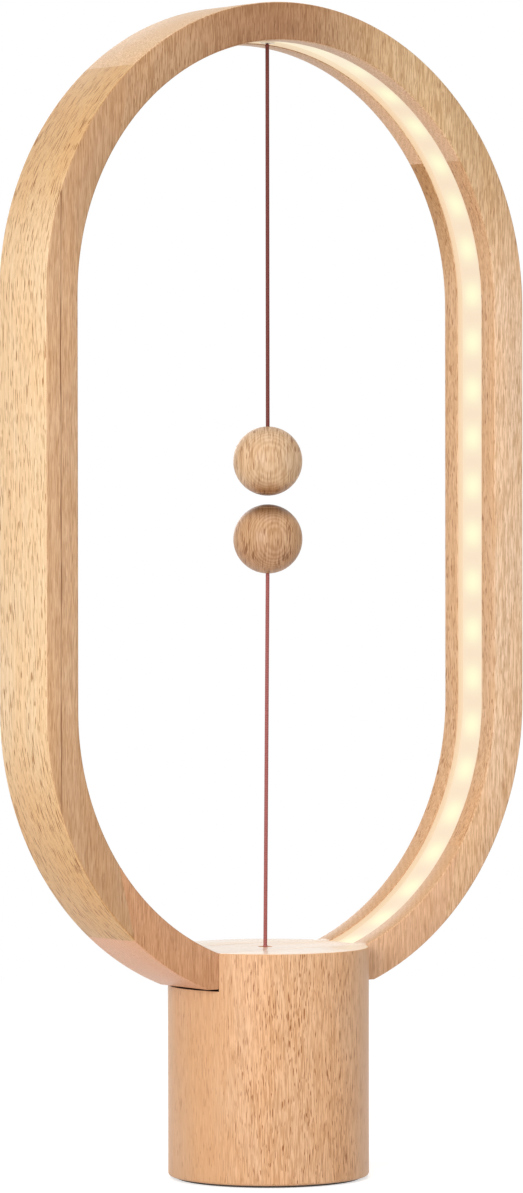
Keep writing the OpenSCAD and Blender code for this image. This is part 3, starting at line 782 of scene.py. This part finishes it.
def turned(profile, steps):
    """A lathe: spins a profile of radius and height round the upright axis into a closed shape."""
    bm = bmesh.new()
    verts = [bm.verts.new((r, 0, z)) for r, z in profile]
    edges = [bm.edges.new(pair) for pair in zip(verts, verts[1:])]
    bmesh.ops.spin(
        bm, geom=verts + edges, cent=(0, 0, 0), axis=(0, 0, 1), angle=2 * math.pi, steps=steps,
        use_merge=True,
    )
    bmesh.ops.remove_doubles(bm, verts=bm.verts, dist=1e-6)
    bmesh.ops.recalc_face_normals(bm, faces=bm.faces)
    return bm


# The rings of each ball's wood face the photograph's side, so its pith is far out that way.
view_side = Vector((-math.sin(camera_azimuth), -math.cos(camera_azimuth)))
view_way = (view_side.x, view_side.y, 0)
ball_low, ball_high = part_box("upper_ball")
ball_r = (ball_high.x - ball_low.x) / 2
upper_centre = Vector((0, 0, upper_line_low.z + knot_radius + knot_off_centre))
lower_centre = Vector((0, 0, lower_line_high.z - knot_radius - knot_off_centre))
lean = math.atan2(lower_knot.x - lower_bend.x, lower_knot.z - lower_bend.z)
ball_grain = {
    "turn": camera_azimuth, "deep": 5 * MM, "flat_way": view_way, "long_pores": 4.0,
    "dashes": 0.75, "few": 0.75, "lines": 0.9, "plain_lines": 0.9,
}
# The upper ball's bottom cap is darker: painted shade where it faces the lower ball.
make_piece(
    "upper_ball_wood", ball_mesh(upper_centre, ball_r, False, 0),
    beech("beech_upper_ball", srgb(199, 167, 134), end_grain_and_shading=srgb(168, 123, 85), capped=-1,
          pith=(0.004, -0.05), rings=0.22, ring_pitch=1.0 * MM, ring_wander=0.9 * MM, **ball_grain),
    "upper_pendant", "ball_wood", "upper_ball", "upper_plug",
)
# The lower ball's top cap is darker, a painted shadow of the upper ball, and its underside a little darker,
# painted shade.
make_piece(
    "lower_ball_wood", ball_mesh(lower_centre, ball_r, True, lean),
    beech("beech_lower_ball", srgb(185, 147, 112), end_grain_and_shading=srgb(124, 89, 59), capped=1,
          downward=(0.90, 0.86, 0.86), shift=(0.002, 0.003, 0.04), pith=(0.004, -0.03), rings=0.34,
          ring_pitch=0.85 * MM, ring_wander=0.8 * MM, **ball_grain),
    "lower_float", "ball_wood", "lower_ball", "lower_plug",
)


# ---------------------------------------------------------------- base
# A turned beech cylinder, hollowed from below for the driver, the switch and the ballast. A slot
# is sawn across its top for the hoop's foot, and an opening at the back lets the plug in.
base_low, base_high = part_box("base_body")
base_r = base_high.x
foot_round = 0.9 * MM
top_round = 0.6 * MM
wall = 6.0 * MM
web_thick = 12 * MM
cover_gap = 0.2 * MM
slot_gap = 0.15 * MM
shadow_gap = 0.8 * MM
inlet_round = 1.5 * MM
cavity_top = slot_floor - web_thick
step_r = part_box("base_cover")[1].x + cover_gap
step_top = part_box("ballast_disc")[0].z
slot_half = half_depth + slot_gap
flat_turn = math.radians(-17)
flat_side = (math.sin(flat_turn), -math.cos(flat_turn), 0)
usb_low, usb_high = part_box("usb_socket")
inlet_half = Vector((6.0, 0, 4.0)) * MM


def rounded_corner(x, z, radius, start):
    """Points of a quarter round whose centre is at x, z, from an angle onwards anticlockwise."""
    angles = [start + math.pi / 2 * i / 4 for i in range(5)]
    return [(x + radius * math.cos(a), z + radius * math.sin(a)) for a in angles]


def base_mesh():
    """The turned outline: the hollow, the step for the cover, then up the outside to the top."""
    inside = base_r - wall
    profile = [
        (0, cavity_top), (inside, cavity_top), (inside, step_top), (step_r, step_top),
        (step_r, base_low.z),
    ]
    profile += rounded_corner(base_r - foot_round, base_low.z + foot_round, foot_round, -math.pi / 2)
    profile += rounded_corner(base_r - top_round, base_high.z - top_round, top_round, 0)
    profile += [(0, base_high.z)]
    return turned(profile, 160)


# Its top is paler: end grain with a painted reflection. The slot's floor, just under the foot, gets a painted
# shadow brown.
base = make_piece(
    "base_wood", base_mesh(),
    beech("beech_base", srgb(208, 165, 127), end_grain_and_shading=srgb(248, 227, 202), polish=0.8, glued=slot_floor,
          shift=(0.004, 0.007, 0.0), pith=(0.02, 0.07), flat_way=flat_side, flat_span=(0.6, 0.97),
          dashes=1.0, few=0.4, sparse=0.635, long_pores=3.6, plain_lines=1.1, lines=0.3, rings=0.02),
    "lamp", "base_wood", "base_body",
)
worked(base, box_mesh(
    Vector((-2 * base_r, -slot_half, slot_floor - shadow_gap)), Vector((2 * base_r, slot_half, 2 * base_top)),
))
inlet_z = (usb_low.z + usb_high.z) / 2
inlet = box_mesh(
    Vector((-inlet_half.x, base_r - 2 * wall, inlet_z - inlet_half.z)),
    Vector((inlet_half.x, base_r + wall, inlet_z + inlet_half.z)),
)
corners = [e for e in inlet.edges if abs(e.verts[0].co.y - e.verts[1].co.y) > 1e-4]
rounded(inlet, corners, inlet_round, 5)
worked(base, inlet)
arris = base.modifiers.new("arris", "BEVEL")
arris.width = arris_round
arris.segments = 2
arris.limit_method = "ANGLE"
arris.angle_limit = math.radians(50)
settle(base)


# ---------------------------------------------------------------- carried-over pieces
# The pieces that hide inside the base, the hoop and the balls keep their CAD shapes, and so do
# the bushes, the bends of the cords, the cover and the pad. Each gets the finish of its stuff.
def metal(name, colour, roughness, brushed):
    """Bare metal, brushed along the longest side of a grain cell."""
    finish = Finish(name, colour)
    grain = finish.noise(finish.stretched(finish.place(), brushed), 3, 0.6)
    return finish.shade({
        "Base Color": finish.mix(grain, tuple(c * 0.82 for c in colour), colour),
        "Metallic": 1.0,
        "Roughness": grain * 0.2 + roughness,
        "Normal": finish.bump(grain, 0.02 * MM, 0.3),
    })


def moulded(name, colour, roughness, grit=0.25 * MM, depth=0.02 * MM):
    """Plastic, rubber or cord: a fine grit, and faint broad patches."""
    finish = Finish(name, colour)
    place = finish.place()
    fine = finish.noise(finish.stretched(place, (grit,) * 3), 2, 0.6)
    broad = finish.noise(finish.stretched(place, (9 * MM,) * 3), 2, 0.5)
    return finish.shade({
        "Base Color": finish.mix(broad, tuple(c * 0.9 for c in colour), colour),
        "Roughness": fine * 0.15 + roughness,
        "Specular IOR Level": 0.45,
        "Normal": finish.bump(fine, depth, 0.4),
    })


def board_green():
    """Solder mask over copper tracks, which show as paler bands."""
    finish = Finish("board_mask")
    place = finish.place()
    tracks = finish.node(
        "ShaderNodeTexBrick", {"offset": 0.37},
        {"Vector": finish.stretched(place, (4 * MM, 4 * MM, 4 * MM)), "Scale": 1.0, "Mortar Size": 0.06,
         "Color1": srgb(20, 92, 52), "Color2": srgb(16, 80, 46), "Mortar": srgb(48, 128, 80)},
    )
    return finish.shade({"Base Color": tracks, "Roughness": 0.3, "Coat Weight": 0.4})


zinc = metal("bright_zinc", (0.66, 0.67, 0.69), 0.28, (0.2 * MM, 0.2 * MM, 3 * MM))
carried = {
    ("crown_knot", "upper_cord_bead"): moulded("cord_end_red", upper_red, 0.6, 0.3 * MM, 0.06 * MM),
    ("lower_cord_bead", "pull_cord"): moulded("cord_end_red_lit", lower_red, 0.6, 0.3 * MM, 0.06 * MM),
    ("crown_bush", "cord_guide"): moulded("bush_milky", srgb(240, 226, 205), 0.35),
    ("led_tape",): moulded("tape_white", (0.82, 0.80, 0.74), 0.45),
    ("led_chips",): moulded("chip_amber", (0.90, 0.72, 0.25), 0.25),
    ("led_lead", "switch_lead"): moulded("wire_black", (0.02, 0.02, 0.022), 0.35),
    ("upper_magnet", "lower_magnet"): metal("nickel_plate", (0.72, 0.71, 0.68), 0.12, (0.5 * MM,) * 3),
    ("return_spring",): metal("drawn_wire", (0.56, 0.57, 0.60), 0.25, (0.1 * MM, 0.1 * MM, 0.8 * MM)),
    ("contact_bridge", "switch_terminals"): metal(
        "bare_brass", (0.78, 0.56, 0.22), 0.25, (0.3 * MM, 2 * MM, 0.3 * MM),
    ),
    ("pull_stem",): moulded("white_acetal", (0.80, 0.80, 0.77), 0.3),
    ("switch_case", "switch_lid", "base_cover"): moulded("black_nylon", (0.022, 0.022, 0.025), 0.45),
    ("board_parts",): moulded("black_sleeve", (0.03, 0.03, 0.033), 0.35),
    ("driver_board",): board_green(),
    ("foot_pad",): moulded("pad_rubber", (0.085, 0.070, 0.060), 0.75, 0.5 * MM, 0.08 * MM),
    ("ballast_disc", "usb_socket", "cover_screws", "board_screws", "switch_screws", "hoop_screws"): zinc,
}
for names, finish in carried.items():
    for name in names:
        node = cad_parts[name]
        node.data.materials.clear()
        node.data.materials.append(finish)


# ---------------------------------------------------------------- stage and light
# A white sweep and plain soft light: a broad lamp at the left front, weaker ones above, at the
# right and behind, and an even sky. The white behind the lamp is only what the camera sees.
def floor_white():
    """Plain grey to the lamp's light, and lit up to white where it is seen."""
    finish = Finish("floor_white")
    seen = finish.node("ShaderNodeLightPath", {}, {}, "Is Camera Ray")
    gloss = finish.node("ShaderNodeLightPath", {}, {}, "Is Glossy Ray")
    through = finish.node("ShaderNodeLightPath", {}, {}, "Is Transmission Ray")
    white = seen.math("MAXIMUM", gloss).math("MAXIMUM", through)
    finish.shade({"Base Color": (0.68, 0.68, 0.68), "Roughness": 0.9, "Specular IOR Level": 0.0})
    plain = Signal(finish, finish.shader.outputs[0])
    glow = finish.node("ShaderNodeEmission", {}, {"Color": (1, 1, 1), "Strength": 0.62})
    both = finish.node("ShaderNodeAddShader", {}, {0: plain, 1: glow})
    reach = finish.node("ShaderNodeVectorMath", {"operation": "LENGTH"}, {0: finish.place()}, "Value")
    plain_white = finish.node("ShaderNodeEmission", {}, {"Color": (1, 1, 1), "Strength": 1.0})
    lit = finish.node("ShaderNodeMixShader", {}, {0: reach.between(0.4, 0.8), 1: both, 2: plain_white})
    shown = finish.node("ShaderNodeMixShader", {}, {0: white, 1: plain, 2: lit})
    finish.feed(finish.tree.nodes["Material Output"], {"Surface": shown})
    return finish.material


floor_half = 8
floor_drop = 0.1 * MM
sky_level = 0.53
lit_point = Vector((0, 0, 0.2))

bm = bmesh.new()
bmesh.ops.create_grid(bm, x_segments=1, y_segments=1, size=floor_half)
bmesh.ops.translate(bm, verts=bm.verts, vec=(0, 0, -floor_drop))
mesh = bpy.data.meshes.new("floor")
bm.to_mesh(mesh)
bm.free()
mesh.materials.append(floor_white())
floor = bpy.data.objects.new("floor", mesh)
scene.collection.objects.link(floor)

world = bpy.data.worlds.new("world")
world.use_nodes = True
scene.world = world
links = world.node_tree.links
nodes = world.node_tree.nodes
background = nodes["Background"]
path = nodes.new("ShaderNodeLightPath")
seen = nodes.new("ShaderNodeMath")
seen.operation = "MAXIMUM"
links.new(path.outputs["Is Camera Ray"], seen.inputs[0])
links.new(path.outputs["Is Transmission Ray"], seen.inputs[1])
gloss = nodes.new("ShaderNodeMath")
gloss.operation = "MAXIMUM"
links.new(seen.outputs[0], gloss.inputs[0])
links.new(path.outputs["Is Glossy Ray"], gloss.inputs[1])
strength = nodes.new("ShaderNodeMapRange")
strength.inputs["To Min"].default_value = sky_level
strength.inputs["To Max"].default_value = 1.0
links.new(gloss.outputs[0], strength.inputs["Value"])
background.inputs["Color"].default_value = (1, 1, 1, 1)
links.new(strength.outputs[0], background.inputs["Strength"])


def soft_light(name, place, size, watts):
    data = bpy.data.lights.new(name, "AREA")
    data.shape = "DISK"
    data.size = size
    data.energy = watts
    light = bpy.data.objects.new(name, data)
    aim = lit_point - Vector(place)
    light.matrix_world = Matrix.Translation(place) @ aim.to_track_quat("-Z", "Y").to_matrix().to_4x4()
    scene.collection.objects.link(light)


soft_light("key", (-1.3, -0.8, 0.45), 0.9, 17.5)
soft_light("top", (-0.2, -0.2, 1.8), 0.9, 9.0)
soft_light("fill", (0.9, -1.3, 0.4), 0.8, 3.3)
soft_light("back", (0.5, 1.5, 0.6), 0.8, 3.5)

scene.view_settings.view_transform = "Standard"
